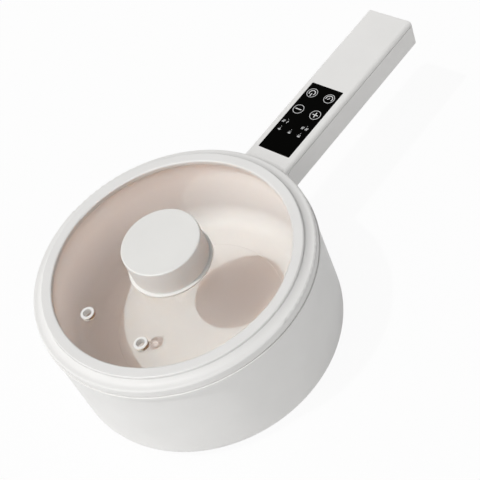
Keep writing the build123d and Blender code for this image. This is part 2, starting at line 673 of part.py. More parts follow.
# ================================================================ outer shell
with BuildPart() as outer_shell:
    with BuildSketch(Plane.XZ) as shell_section:
        Polygon(
            (SHELL_OPENING_R, FOOT_H),
            (BODY_R, FOOT_H),
            (BODY_R, LIP_TOP - LIP_H),
            (LIP_R, LIP_TOP - LIP_H),
            (LIP_R, LIP_TOP),
            (SHELL_BORE_R, LIP_TOP),
            (SHELL_BORE_R, FOOT_H + SHELL_WALL),
            (SHELL_OPENING_R, FOOT_H + SHELL_WALL),
            align=None,
        )
        round_corner(shell_section, (BODY_R, FOOT_H), BASE_ROUND)
        round_corner(shell_section, (SHELL_BORE_R, FOOT_H + SHELL_WALL), BASE_ROUND - SHELL_WALL)
        round_corner(shell_section, (LIP_R, LIP_TOP), LIP_ROUND)
    revolve(axis=Axis.Z)
    # bosses for the base screws, tied to the wall by ribs
    rib_mid_r = (BOSS_CIRCLE_R + SHELL_BORE_R) / 2
    rib_l = SHELL_BORE_R - BOSS_CIRCLE_R + SHELL_WALL / 2
    with BuildSketch(Plane.XY.offset(BOSS_FOOT)):
        with PolarLocations(BOSS_CIRCLE_R, BOSS_COUNT, start_angle=BOSS_ANGLE):
            Circle(BOSS_R)
        with PolarLocations(rib_mid_r, BOSS_COUNT, start_angle=BOSS_ANGLE):
            Rectangle(rib_l, RIB_T)
    extrude(amount=BOSS_TOP - BOSS_FOOT)
    with BuildSketch(Plane.XY.offset(BOSS_FOOT)):
        with PolarLocations(BOSS_CIRCLE_R, BOSS_COUNT, start_angle=BOSS_ANGLE):
            Circle(PILOT_R)
    extrude(amount=BOSS_TOP - BOSS_FOOT, mode=Mode.SUBTRACT)
    # notch in the rim that lets the handle's top through
    notch_x, notch_y = (WORLD * turn(radians(ROOT_ANGLE + NOTCH_MARGIN)) for turn in (cos, sin))
    with BuildSketch(Plane.XY.offset(NOTCH_FOOT)):
        Polygon((0, 0), (notch_x, notch_y), (notch_x, -notch_y), align=None)
    extrude(amount=WORLD, mode=Mode.SUBTRACT)
    # holes for the handle's root screws and the cord gland, and the slot for the wires
    for angle, height, radius in (
        (-ROOT_SCREW_ANGLE, WIRE_SLOT_Z, SCREW_PASS_R),
        (ROOT_SCREW_ANGLE, WIRE_SLOT_Z, SCREW_PASS_R),
        (0, GLAND_Z, GLAND_NECK_R + CLEAR),
    ):
        with BuildSketch(side_plane(SPIGOT_BORE_R, angle, height)):
            Circle(radius)
        extrude(amount=THROUGH, mode=Mode.SUBTRACT)
    with BuildSketch(side_plane(SPIGOT_BORE_R, 0, WIRE_SLOT_Z)):
        SlotOverall(*WIRE_SLOT)
    extrude(amount=THROUGH, mode=Mode.SUBTRACT)
keep(outer_shell, "outer_shell")

# ================================================================ inner pot
with BuildPart() as inner_pot:
    with BuildSketch(Plane.XZ) as pot_section:
        Polygon(
            (0, POT_BOTTOM),
            (POT_R + POT_WALL, POT_BOTTOM),
            (POT_R + POT_WALL, POT_FLANGE_FOOT),
            (POT_FLANGE_R, POT_FLANGE_FOOT),
            (POT_FLANGE_R, POT_RIM_Z),
            (POT_R, POT_RIM_Z),
            (POT_R, POT_FLOOR),
            (POT_STEP_R + POT_STEP_H, POT_FLOOR),
            (POT_STEP_R, POT_FLOOR + POT_STEP_H),
            (0, POT_FLOOR + POT_STEP_H),
            align=None,
        )
        round_corner(pot_section, (POT_R + POT_WALL, POT_BOTTOM), POT_CORNER_R + POT_WALL)
        round_corner(pot_section, (POT_R, POT_FLOOR), POT_CORNER_R)
        round_corner(pot_section, (POT_R, POT_RIM_Z), POT_RIM_ROUND)
    revolve(axis=Axis.Z)
keep(inner_pot, "inner_pot")

with BuildPart() as pot_ring:
    with BuildSketch(Plane.XY.offset(POT_FLANGE_FOOT - SEAT_GAP)):
        Circle(POT_RING_R)
        Circle(POT_RING_BORE_R, mode=Mode.SUBTRACT)
    extrude(amount=-POT_RING_T)
keep(pot_ring, "pot_ring")

# ================================================================ base
with BuildPart() as base_cover:
    with BuildSketch(Plane.XZ):
        Polygon(
            (0, FOOT_H),
            (COVER_R, FOOT_H),
            (COVER_R, COVER_STEP_Z[0]),
            (COVER_STEP_R, COVER_STEP_Z[0]),
            (COVER_STEP_R, COVER_STEP_Z[1]),
            (COVER_STEP_BORE_R, COVER_STEP_Z[1]),
            (COVER_STEP_BORE_R, FOOT_H + COVER_T),
            (0, FOOT_H + COVER_T),
            align=None,
        )
    revolve(axis=Axis.Z)
    with BuildSketch(Plane.XY.offset(FOOT_H)):
        with PolarLocations(BOSS_CIRCLE_R, BOSS_COUNT, start_angle=BOSS_ANGLE):
            Circle(COVER_PAD_R)
    extrude(amount=COVER_STEP_Z[1] - FOOT_H)
    with BuildSketch(Plane.XY.offset(FOOT_H)):
        with PolarLocations(BOSS_CIRCLE_R, BOSS_COUNT, start_angle=BOSS_ANGLE):
            Circle(SCREW_PASS_R)
        with PolarLocations(SLOT_CIRCLE_R, SLOT_COUNT):
            SlotOverall(SLOT_L, SLOT_W)
    extrude(amount=COVER_STEP_Z[1] - FOOT_H, mode=Mode.SUBTRACT)
    with BuildSketch(Plane.XY.offset(FOOT_H)):
        with PolarLocations(BOSS_CIRCLE_R, BOSS_COUNT, start_angle=BOSS_ANGLE):
            Circle(SCREW_POCKET_R)
    extrude(amount=SCREW_HEAD_T + CLEAR, mode=Mode.SUBTRACT)
    # groove that holds the foot ring
    with BuildSketch(Plane.XY.offset(FOOT_H)):
        Circle(FOOT_RING_R[1] + THREAD_CLEAR)
        Circle(FOOT_RING_R[0] - THREAD_CLEAR, mode=Mode.SUBTRACT)
    extrude(amount=FOOT_RING_TOP - FOOT_H, mode=Mode.SUBTRACT)
keep(base_cover, "base_cover")

with BuildPart() as foot_ring:
    with BuildSketch():
        Circle(FOOT_RING_R[1])
        Circle(FOOT_RING_R[0], mode=Mode.SUBTRACT)
    extrude(amount=FOOT_RING_TOP)
    fillet(foot_ring.edges().group_by(Axis.Z)[0], radius=FOOT_RING_ROUND)
keep(foot_ring, "foot_ring")

with BuildPart() as base_screws:
    for place in PolarLocations(BOSS_CIRCLE_R, BOSS_COUNT, start_angle=BOSS_ANGLE):
        spot = place.position
        seat = Plane(origin=(spot.X, spot.Y, FOOT_H + SCREW_HEAD_T + CLEAR), z_dir=(0, 0, -1))
        add_screw(seat, BASE_SCREW_L)
keep(base_screws, "base_screws")

# ================================================================ heater under the pot
with BuildPart() as heating_plate:
    with BuildSketch(Plane.XY.offset(POT_BOTTOM - HEATER_T)):
        Circle(HEATER_R)
        Circle(HEATER_HOLE_R, mode=Mode.SUBTRACT)
    extrude(amount=HEATER_T)
keep(heating_plate, "heating_plate")

ELEMENT_Z = POT_BOTTOM - HEATER_T - ELEMENT_TUBE_R - THREAD_CLEAR
LEG_TURN = 90 - ELEMENT_GAP_ANGLE
LEG_Y = ELEMENT_R * sin(radians(ELEMENT_GAP_ANGLE)) - ELEMENT_BEND_R * (1 - cos(radians(LEG_TURN)))
LEG_X = ELEMENT_R * cos(radians(ELEMENT_GAP_ANGLE)) + ELEMENT_BEND_R * sin(radians(LEG_TURN)) + ELEMENT_LEG

with BuildPart() as heating_element:
    with BuildLine(Plane.XY.offset(ELEMENT_Z)) as element_path:
        main_turn = CenterArc((0, 0), ELEMENT_R, ELEMENT_GAP_ANGLE, 360 - 2 * ELEMENT_GAP_ANGLE)
        out_bend = JernArc(main_turn @ 1, main_turn % 1, ELEMENT_BEND_R, -LEG_TURN)
        in_bend = JernArc(main_turn @ 0, -(main_turn % 0), ELEMENT_BEND_R, LEG_TURN)
        Line(out_bend @ 1, (out_bend @ 1) + (ELEMENT_LEG, 0))
        Line(in_bend @ 1, (in_bend @ 1) + (ELEMENT_LEG, 0))
    leg_end = Plane(origin=(LEG_X, LEG_Y, ELEMENT_Z), z_dir=(-1, 0, 0))
    with BuildSketch(leg_end) as tube:
        Circle(ELEMENT_TUBE_R)
    sweep(tube.sketch, path=element_path.wires()[0])
keep(heating_element, "heating_element")

with BuildPart() as element_terminals:
    for side_y in (-LEG_Y, LEG_Y):
        with BuildSketch(Plane(origin=(LEG_X, side_y, ELEMENT_Z), z_dir=(1, 0, 0))) as ceramic:
            Circle(CERAMIC_R)
        extrude(ceramic.sketch, amount=CERAMIC_L)
        with Locations((LEG_X + CERAMIC_L + TERMINAL_TAB[0] / 2, side_y, ELEMENT_Z)):
            Box(*TERMINAL_TAB)
keep(element_terminals, "element_terminals")

with BuildPart() as heat_shield:
    with BuildSketch(Plane.XZ):
        Polygon(
            (0, HEAT_SHIELD_Z),
            (HEAT_SHIELD_R, HEAT_SHIELD_Z),
            (HEAT_SHIELD_R, HEAT_SHIELD_RIM_TOP),
            (HEAT_SHIELD_R - HEAT_SHIELD_T, HEAT_SHIELD_RIM_TOP),
            (HEAT_SHIELD_R - HEAT_SHIELD_T, HEAT_SHIELD_Z + HEAT_SHIELD_T),
            (0, HEAT_SHIELD_Z + HEAT_SHIELD_T),
            align=None,
        )
    revolve(axis=Axis.Z)
    with BuildSketch(Plane.XY.offset(HEAT_SHIELD_Z)):
        with PolarLocations(STUD_CIRCLE_R, STUD_COUNT, start_angle=STUD_ANGLE):
            Circle(STUD_R + CLEAR)
    extrude(amount=HEAT_SHIELD_T, mode=Mode.SUBTRACT)
    # gap in the rim for the heater's legs
    with BuildSketch(Plane.XY.offset(HEAT_SHIELD_Z + HEAT_SHIELD_T)):
        with Locations((HEAT_SHIELD_R, 0)):
            Rectangle(HEATER_HOLE_R, 2 * (LEG_Y + TERMINAL_TAB[1]))
    extrude(amount=HEAT_SHIELD_RIM_TOP - HEAT_SHIELD_Z, mode=Mode.SUBTRACT)
keep(heat_shield, "heat_shield")

with BuildPart() as pot_studs:
    with BuildSketch(Plane.XY.offset(STUD_FOOT)):
        with PolarLocations(STUD_CIRCLE_R, STUD_COUNT, start_angle=STUD_ANGLE):
            Circle(STUD_R)
    extrude(amount=POT_BOTTOM - STUD_FOOT)
keep(pot_studs, "pot_studs")

with BuildPart() as stud_nuts:
    with BuildSketch(Plane.XY.offset(HEAT_SHIELD_Z - NUT_T)):
        with PolarLocations(STUD_CIRCLE_R, STUD_COUNT, start_angle=STUD_ANGLE):
            RegularPolygon(NUT_R, NUT_SIDES)
            Circle(STUD_R + THREAD_CLEAR, mode=Mode.SUBTRACT)
    extrude(amount=NUT_T)
keep(stud_nuts, "stud_nuts")

with BuildPart() as temperature_sensor:
    with BuildSketch(Plane.XZ):
        Polygon(
            (0, POT_BOTTOM - THREAD_CLEAR),
            (SENSOR_R, POT_BOTTOM - THREAD_CLEAR),
            (SENSOR_R, SENSOR_FOOT + SENSOR_WALL),
            (SENSOR_FLANGE_R, SENSOR_FOOT + SENSOR_WALL),
            (SENSOR_FLANGE_R, SENSOR_FOOT),
            (SENSOR_R - SENSOR_WALL, SENSOR_FOOT),
            (SENSOR_R - SENSOR_WALL, POT_BOTTOM - SENSOR_CAP_T),
            (0, POT_BOTTOM - SENSOR_CAP_T),
            align=None,
        )
    revolve(axis=Axis.Z)
keep(temperature_sensor, "temperature_sensor")

with BuildPart() as sensor_spring:
    spring_foot = HEAT_SHIELD_Z + HEAT_SHIELD_T
    add_coil(SENSOR_SPRING_R, SENSOR_WIRE_R, SENSOR_PITCH, spring_foot, POT_BOTTOM - SENSOR_CAP_T)
keep(sensor_spring, "sensor_spring")

CUTOUT_Z = POT_BOTTOM - HEATER_T - CUTOUT_R - THREAD_CLEAR
with BuildPart() as thermal_cutout:
    with BuildSketch(Plane.XZ.offset(-CUTOUT_L / 2)):
        with Locations((CUTOUT_X, CUTOUT_Z)):
            Circle(CUTOUT_R)
    extrude(amount=CUTOUT_L)
keep(thermal_cutout, "thermal_cutout")

with BuildPart() as cutout_clip:
    clip_r = CUTOUT_R + THREAD_CLEAR
    clip_top = POT_BOTTOM - HEATER_T
    with BuildSketch(Plane.XZ.offset(-CLIP_W / 2)):
        with Locations((CUTOUT_X, clip_top)):
            Rectangle(CLIP_SPAN, CLIP_T, align=(Align.CENTER, Align.MAX))
            Rectangle(2 * (clip_r + CLIP_T), clip_top - CUTOUT_Z, align=(Align.CENTER, Align.MAX))
        with Locations((CUTOUT_X, CUTOUT_Z)):
            Circle(clip_r + CLIP_T)
            Circle(clip_r, mode=Mode.SUBTRACT)
            Rectangle(2 * clip_r, 2 * clip_r, align=(Align.CENTER, Align.MIN), mode=Mode.SUBTRACT)
    extrude(amount=CLIP_W)
keep(cutout_clip, "cutout_clip")

# ================================================================ cord gland
GLAND_INNER_X = SHELL_BORE_R - CLEAR - GLAND_COLLAR_T
with BuildPart() as cord_gland:
    gland_axis = Axis((0, 0, GLAND_Z), (1, 0, 0))
    with BuildSketch(Plane.XZ):
        with Locations((0, GLAND_Z)):
            Polygon(
                (GLAND_INNER_X, GLAND_BORE_R),
                (BODY_R + GLAND_FLANGE_T, GLAND_BORE_R),
                (BODY_R + GLAND_FLANGE_T, GLAND_FLANGE_R - GLAND_BEVEL),
                (BODY_R + GLAND_FLANGE_T - GLAND_BEVEL, GLAND_FLANGE_R),
                (BODY_R + THREAD_CLEAR, GLAND_FLANGE_R),
                (BODY_R + THREAD_CLEAR, GLAND_NECK_R),
                (GLAND_INNER_X + GLAND_COLLAR_T, GLAND_NECK_R),
                (GLAND_INNER_X + GLAND_COLLAR_T, GLAND_NECK_R + GLAND_BEVEL),
                (GLAND_INNER_X, GLAND_NECK_R + GLAND_BEVEL),
                align=None,
            )
    revolve(axis=gland_axis)
keep(cord_gland, "cord_gland")

# ================================================================ handle fixings
with BuildPart() as handle_bracket:
    bracket_r = SHELL_BORE_R - CLEAR
    with BuildSketch(Plane.XY.offset(BRACKET_Z[0])):
        with BuildLine():
            outer_arc = CenterArc((0, 0), bracket_r, -BRACKET_ANGLE, 2 * BRACKET_ANGLE)
            inner_arc = CenterArc((0, 0), bracket_r - BRACKET_T, -BRACKET_ANGLE, 2 * BRACKET_ANGLE)
            Line(outer_arc @ 0, inner_arc @ 0)
            Line(outer_arc @ 1, inner_arc @ 1)
        make_face()
    extrude(amount=BRACKET_Z[1] - BRACKET_Z[0])
    for angle in (-ROOT_SCREW_ANGLE, ROOT_SCREW_ANGLE):
        with BuildSketch(side_plane(BODY_R, angle, WIRE_SLOT_Z)):
            Circle(SCREW_PASS_R)
        extrude(amount=-THROUGH, mode=Mode.SUBTRACT)
    with BuildSketch(side_plane(BODY_R, 0, WIRE_SLOT_Z)):
        SlotOverall(*WIRE_SLOT)
    extrude(amount=-THROUGH, mode=Mode.SUBTRACT)
keep(handle_bracket, "handle_bracket")

with BuildPart() as root_screws:
    reach = bracket_r - BRACKET_T - CLEAR / 2
    for angle in (-ROOT_SCREW_ANGLE, ROOT_SCREW_ANGLE):
        outward = side_plane(reach, angle, WIRE_SLOT_Z)
        seat = Plane(origin=outward.origin, x_dir=(0, 0, 1), z_dir=-outward.z_dir)
        add_screw(seat, ROOT_SCREW_L)
keep(root_screws, "root_screws")

with BuildPart() as handle_screws:
    for screw_x in HANDLE_SCREW_X:
        seat = Plane(origin=(screw_x, 0, HANDLE_FOOT + HANDLE_WALL / 2), z_dir=(0, 0, -1))
        add_screw(seat, HANDLE_SCREW_L, head_t=HANDLE_WALL / 2)
keep(handle_screws, "handle_screws")

# ================================================================ control panel
with BuildPart() as touch_panel:
    with BuildSketch(Plane.XY.offset(HANDLE_TOP - PANEL_T)):
        with Locations((panel_mid, 0)):
            RectangleRounded(panel_l, PANEL_W, PANEL_ROUND)
    extrude(amount=PANEL_T)
keep(touch_panel, "touch_panel")

KEY_SPOTS = [(x, y) for x in KEY_X for y in (-KEY_Y, KEY_Y)]
BOARD_TOP = TOUCH_BOARD_Z + BOARD_T
UNDER_PANEL = HANDLE_TOP - PANEL_T

with BuildPart() as light_guide:
    with BuildSketch(Plane.XY.offset(BOARD_TOP)):
        with Locations((panel_mid, 0)):
            Rectangle(panel_l - 2 * WINDOW_MARGIN - CLEAR, PANEL_W - 2 * WINDOW_MARGIN - CLEAR)
        with Locations(*KEY_SPOTS):
            Circle(SHIELD_HOLE_R, mode=Mode.SUBTRACT)
        with Locations(*LED_SPOTS):
            Rectangle(LED_SIZE[0] + 2 * CLEAR, LED_SIZE[1] + 2 * CLEAR, mode=Mode.SUBTRACT)
    extrude(amount=UNDER_PANEL - BOARD_TOP)
keep(light_guide, "light_guide")

with BuildPart() as touch_springs:
    for key_spot in KEY_SPOTS:
        add_coil(SPRING_R, SPRING_WIRE_R, SPRING_PITCH, BOARD_TOP, UNDER_PANEL, key_spot)
keep(touch_springs, "touch_springs")

with BuildPart() as indicator_leds:
    with Locations(*[(x, y, BOARD_TOP + LED_SIZE[2] / 2) for x, y in LED_SPOTS]):
        Box(*LED_SIZE)
keep(indicator_leds, "indicator_leds")

with BuildPart() as touch_board:
    with BuildSketch(Plane.XY.offset(TOUCH_BOARD_Z)):
        with Locations((panel_mid, 0)):
            Rectangle(panel_l - 2 * BOARD_T, PANEL_W)
    extrude(amount=BOARD_T)
keep(touch_board, "touch_board")

with BuildPart() as control_chip:
    with Locations((panel_mid, 0, TOUCH_BOARD_Z - CHIP_SIZE[2] / 2)):
        Box(*CHIP_SIZE)
keep(control_chip, "control_chip")

# ================================================================ power board
POWER_TOP = POWER_BOARD_Z + BOARD_T

with BuildPart() as power_board:
    with BuildSketch(Plane.XY.offset(POWER_BOARD_Z)):
        with Locations((sum(POWER_BOARD_X) / 2, 0)):
            Rectangle(POWER_BOARD_X[1] - POWER_BOARD_X[0], POWER_BOARD_W)
        with Locations(*BOARD_SCREW_SPOTS):
            Circle(SCREW_PASS_R, mode=Mode.SUBTRACT)
    extrude(amount=BOARD_T)
keep(power_board, "power_board")

for name, size, spot in (
    ("relay", RELAY_SIZE, (RELAY_X, 0)),
    ("filter_capacitor", CAPACITOR_SIZE, CAPACITOR_SPOT),
    ("wire_terminal", TERMINAL_SIZE, (TERMINAL_X, 0)),
):
    with BuildPart() as component:
        with Locations((*spot, POWER_TOP + size[2] / 2)):
            Box(*size)
        upper_edges = component.edges().filter_by(Axis.Z) + component.edges().group_by(Axis.Z)[-1]
        fillet(upper_edges, radius=COMPONENT_ROUND)
    keep(component, name)

with BuildPart() as board_fuse:
    fuse_end = (FUSE_SPOT[0] - FUSE_L / 2, FUSE_SPOT[1], POWER_TOP + FUSE_R)
    with BuildSketch(Plane(origin=fuse_end, z_dir=(1, 0, 0))):
        Circle(FUSE_R)
    extrude(amount=FUSE_L)
keep(board_fuse, "board_fuse")

with BuildPart() as board_screws:
    for spot in BOARD_SCREW_SPOTS:
        add_screw(Plane(origin=(*spot, POWER_TOP)), BOARD_SCREW_L)
keep(board_screws, "board_screws")

# ================================================================ wiring
TAB_END = LEG_X + CERAMIC_L + TERMINAL_TAB[0]
TERMINAL_FACE = TERMINAL_X - TERMINAL_SIZE[0] / 2
TERMINAL_LEAD_Z = POWER_TOP + TERMINAL_SIZE[2] / 2


def lead_route(start, pit_y, slot_y, post_y):
    """Points of a lead: out to the space beside the pot, up, through the slot, along the handle."""
    return (
        start,
        (PIT_R, pit_y, start[2]),
        (PIT_R, slot_y, WIRE_SLOT_Z),
        (POST_RUN_X, post_y, WIRE_SLOT_Z),
        (POST_RUN_X + LEAD_SHIFT, post_y, TERMINAL_LEAD_Z),
        (TERMINAL_FACE, post_y, TERMINAL_LEAD_Z),
    )


for side, sign in (("left", 1), ("right", -1)):
    with BuildPart() as heater_lead:
        tab = (TAB_END, sign * LEG_Y, ELEMENT_Z)
        slot_y, post_y = (sign * y for y in HEATER_LEAD_Y)
        add_wire(lead_route(tab, sign * LEG_Y, slot_y, post_y), LEAD_R, LEAD_BEND)
    keep(heater_lead, f"heater_lead_{side}")

for name, sign in (("live", 1), ("neutral", -1)):
    with BuildPart() as mains_lead:
        pit_y, slot_y, post_y = (sign * y for y in MAINS_LEAD_Y)
        gland_end = (GLAND_INNER_X - THREAD_CLEAR, pit_y, GLAND_Z)
        add_wire(lead_route(gland_end, pit_y, slot_y, post_y), LEAD_R, MAINS_BEND)
    keep(mains_lead, f"mains_lead_{name}")

with BuildPart() as sensor_lead:
    lead_low = SENSOR_FOOT + SENSOR_LEAD_R
    lead_high = HEAT_SHIELD_RIM_TOP + 2 * SENSOR_LEAD_R
    add_wire(
        (
            (SENSOR_FLANGE_R, 0, lead_low),
            (HEATER_R, 0, lead_low),
            (HEATER_R + LEAD_SHIFT, 0, lead_high),
            (SENSOR_PIT_R, 0, lead_high),
            (SENSOR_PIT_R, 0, WIRE_SLOT_Z),
            (SENSOR_PLUG_X, 0, WIRE_SLOT_Z),
            (SENSOR_PLUG_X, 0, TOUCH_BOARD_Z),
        ),
        SENSOR_LEAD_R,
        LEAD_BEND,
    )
keep(sensor_lead, "sensor_lead")

with BuildPart() as ribbon_cable:
    with BuildLine(Plane.XZ) as ribbon_route:
        FilletPolyline(
            (PILLAR_X[1], TOUCH_BOARD_Z - RIBBON[1] / 2),
            (RIBBON_PLUG_X, TOUCH_BOARD_Z - RIBBON[1] / 2),
            (RIBBON_PLUG_X, POWER_TOP),
            radius=RIBBON_BEND,
        )
    ribbon_start = Plane(origin=ribbon_route.line @ 0, x_dir=(0, 1, 0), z_dir=ribbon_route.line % 0)
    with BuildSketch(ribbon_start) as strip:
        with Locations((RIBBON_Y, 0)):
            Rectangle(*RIBBON)
    sweep(strip.sketch, path=ribbon_route.line)
keep(ribbon_cable, "ribbon_cable")
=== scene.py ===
"""Looks of the electric hot pot: finishes, printed icons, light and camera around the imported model."""

import json
from math import cos, pi, radians, sin

import bmesh
import bpy
from mathutils import Matrix, Vector


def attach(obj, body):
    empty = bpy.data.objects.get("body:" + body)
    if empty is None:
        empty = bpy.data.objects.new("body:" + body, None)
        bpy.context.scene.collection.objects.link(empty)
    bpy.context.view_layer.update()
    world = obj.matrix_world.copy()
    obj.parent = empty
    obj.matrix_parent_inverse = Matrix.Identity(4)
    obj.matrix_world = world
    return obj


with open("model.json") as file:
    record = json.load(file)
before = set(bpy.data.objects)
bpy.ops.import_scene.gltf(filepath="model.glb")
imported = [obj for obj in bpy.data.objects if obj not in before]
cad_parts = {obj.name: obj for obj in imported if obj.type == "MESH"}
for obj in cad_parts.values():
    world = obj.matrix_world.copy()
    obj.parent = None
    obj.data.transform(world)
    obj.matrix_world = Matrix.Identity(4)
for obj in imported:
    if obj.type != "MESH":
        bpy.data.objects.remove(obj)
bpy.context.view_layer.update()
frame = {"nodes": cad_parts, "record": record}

# ---------------------------------------------------------------- camera, as fitted to the photograph
VIEW_AZIMUTH = radians(-31.76)
VIEW_ELEVATION = radians(48.28)
VIEW_ROLL = radians(-25.32)
VIEW_DISTANCE = 0.73885
VIEW_TARGET = Vector((0.0255, -0.04505, 0.103))
FOCAL_PIXELS = 1210.46
IMAGE_PIXELS = 480
SENSOR_MM = 36.0

# ---------------------------------------------------------------- light
SUN_TRAVEL = Vector((0.366, -0.167, -0.916))
SUN_STRENGTH = 1.42
SUN_ANGLE = radians(0.7)
SKY_STRENGTH = 0.50
SKY_HORIZON = 1.35               # the sky's level at the horizon, as a share of its strength
SKY_DROP = 0.55                  # how much less it is overhead
SKY_BRIGHT_SIDE = radians(178)   # the side towards which it gets brighter
SKY_SLOPE = 0.90                 # and by how much
FLOOR_REACH = 6.0
WHITE_SHARE = 0.94               # how much of the floor the camera sees as plain white

# ---------------------------------------------------------------- the pot and its glass lid
PAINTED_LIGHT_LOW_Z = 0.026          # heights between which the pot's coating is painted lighter: painted shade on the floor, painted light up the wall
PAINTED_LIGHT_HIGH_Z = 0.064
OPEN_SHARE = 0.45                # share of the light bounced under the lid that passes the glass unbent
SUN_TINT = (0.87, 0.98, 1.0, 1.0)      # what the glass does to direct light
BOUNCE_TINT = (1.0, 0.52, 0.10, 1.0)   # and to the bounced light that passes unbent
GLASS_IOR = 1.46
SMEAR_SCALE = 14                 # noise scales are per metre, and depths are in metres
SMEAR_ROUGHNESS = 0.012

# ---------------------------------------------------------------- plastic, coating and metal
NOISE_ROUGHNESS = 0.55
CLOUD_SCALE = 22
GLOSS_SCALE = 95
GLOSS_SPREAD = 0.05
SWELL_SCALE = 60
SWELL_DEPTH = 0.00005
STAIN_SCALE = 36
STAIN_TONE = 0.88
LINE_SCALE = 420
LINE_DEPTH = 0.00003
LINE_GLOSS = (-0.08, 0.1)        # changes of a metal's roughness along its lines
COATING_MOTTLE = (0.98, 0.98, 0.98, 1)

# ---------------------------------------------------------------- the panel's print, in metres
HANDLE_TOP = 0.078
PRINT_LIFT = 0.00005             # how far the ink lies above it
PRINT_WELD = 1e-7                # corners of the ink closer than this are joined
KEY_R = 0.0041
KEY_LINE = 0.00042
MARK_LINE = 0.00066
KEYS = {                         # their centres
    "power": (0.1621, 0.0075),
    "timer": (0.1621, -0.0072),
    "minus": (0.1458, 0.0075),
    "plus": (0.1458, -0.0071),
}
RING_STEPS = 64
POWER_ARC = 0.55                 # the signs' sizes are shares of KEY_R, and sweeps are in degrees
POWER_SWEEP = (-130, 130)
POWER_STEM = (0.72, 0.1)
POWER_LINE = MARK_LINE * 0.85
TIMER_ARC = 0.62
TIMER_SWEEP = (-120, 110)
TIMER_HAND = 0.25
TIMER_LINE = MARK_LINE * 0.8
MINUS_ARM = 0.62
PLUS_ARM = 0.53
LEVEL_MARKS = ((0.1328, 0.0091), (0.1327, -0.0077))   # for two levels of heat
LEVEL_WAVES = (                  # places of their waves across the handle
    (0.0021, 0.0011, -0.0017),
    (0.0022, 0.0012, -0.0011, -0.0021),
)
WAVE_LENGTH = 0.0022
WAVE_SWING = 0.00028
WAVE_LINE = 0.0006
WAVE_STEPS = 12
STATE_MARKS = ((0.1256, 0.0090), (0.1256, 0.0003), (0.1254, -0.0079))   # for three states
POT_SIGN = ((-0.0009, -0.0009), (-0.0009, 0.0009), (0.0002, 0.0012), (0.0002, -0.0012))
BAR_SPAN = (0.0005, 0.0014)
BAR_GAP = 0.0008
BAR_LINE = 0.00036
DOT_R = 0.00026
DOT_CORNERS = 16
LEVEL_DOT = (0.0024, -0.0008)
STATE_DOT = (0.0025, 0)


def linear(level):
    """The linear value of one sRGB level from 0 to 255."""
    part = level / 255
    return part / 12.92 if part <= 0.04045 else ((part + 0.055) / 1.055) ** 2.4


def rgb(red, green, blue):
    """A linear colour from sRGB levels."""
    return (linear(red), linear(green), linear(blue), 1.0)


# ---------------------------------------------------------------- materials
class Shader:
    """A material's node tree with a Principled shader, and short ways to add nodes to it."""

    def __init__(self, name):
        self.material = bpy.data.materials.new(name)
        self.material.use_nodes = True
        self.nodes = self.material.node_tree.nodes
        self.links = self.material.node_tree.links
        self.nodes.clear()
        self.output = self.nodes.new("ShaderNodeOutputMaterial")
        self.bsdf = self.nodes.new("ShaderNodeBsdfPrincipled")
        self.links.new(self.bsdf.outputs[0], self.output.inputs["Surface"])
        self.coords = self.nodes.new("ShaderNodeTexCoord").outputs["Object"]

    def set(self, **values):
        """Sets inputs of the Principled shader; an underscore stands for a space in their names."""
        for name, value in values.items():
            self.bsdf.inputs[name.replace("_", " ")].default_value = value

    def link(self, source, target):
        self.links.new(source, target)

    def noise(self, scale, detail, stretch=(1, 1, 1)):
        mapping = self.nodes.new("ShaderNodeMapping")
        mapping.inputs["Scale"].default_value = stretch
        self.link(self.coords, mapping.inputs["Vector"])
        node = self.nodes.new("ShaderNodeTexNoise")
        node.inputs["Scale"].default_value = scale
        node.inputs["Detail"].default_value = detail
        node.inputs["Roughness"].default_value = NOISE_ROUGHNESS
        self.link(mapping.outputs[0], node.inputs["Vector"])
        return node.outputs["Fac"]

    def spread(self, source, low, high, start=0.3, end=0.7):
        """Maps source from start..end to low..high; the defaults suit a noise."""
        node = self.nodes.new("ShaderNodeMapRange")
        node.inputs["From Min"].default_value = start
        node.inputs["From Max"].default_value = end
        node.inputs["To Min"].default_value = low
        node.inputs["To Max"].default_value = high
        self.link(source, node.inputs["Value"])
        return node.outputs["Result"]

    def tones(self, source, first, second):
        """The first colour where source is 0, the second where it is 1."""
        node = self.nodes.new("ShaderNodeMix")
        node.data_type = "RGBA"
        node.inputs["A"].default_value = first
        node.inputs["B"].default_value = second
        self.link(source, node.inputs["Factor"])
        return node.outputs["Result"]

    def bump(self, source, depth, strength, below=None):
        node = self.nodes.new("ShaderNodeBump")
        node.inputs["Strength"].default_value = strength
        node.inputs["Distance"].default_value = depth
        self.link(source, node.inputs["Height"])
        if below is not None:
            self.link(below, node.inputs["Normal"])
        return node.outputs["Normal"]

    def skin(self, roughness, grain, depth):
        """Uneven gloss, a slight swell and a fine grain over it."""
        low, high = roughness - GLOSS_SPREAD, roughness + GLOSS_SPREAD
        gloss = self.spread(self.noise(GLOSS_SCALE, detail=3), low, high)
        self.link(gloss, self.bsdf.inputs["Roughness"])
        swell = self.bump(self.noise(SWELL_SCALE, detail=2), SWELL_DEPTH, strength=0.25)
        fine = self.bump(self.noise(grain, detail=2), depth, strength=0.35, below=swell)
        self.link(fine, self.bsdf.inputs["Normal"])


def white_rays(nodes, links):
    """1 for rays from the camera, a gloss or clear glass, which see the studio as plain white."""
    path = nodes.new("ShaderNodeLightPath")
    seen = path.outputs["Is Camera Ray"]
    for ray in ("Is Glossy Ray", "Is Transmission Ray"):
        add = nodes.new("ShaderNodeMath")
        add.operation = "MAXIMUM"
        links.new(seen, add.inputs[0])
        links.new(path.outputs[ray], add.inputs[1])
        seen = add.outputs[0]
    return seen


def shade(colour, factor):
    """A colour made darker or lighter by a factor."""
    return tuple(part * factor for part in colour[:3]) + (1.0,)


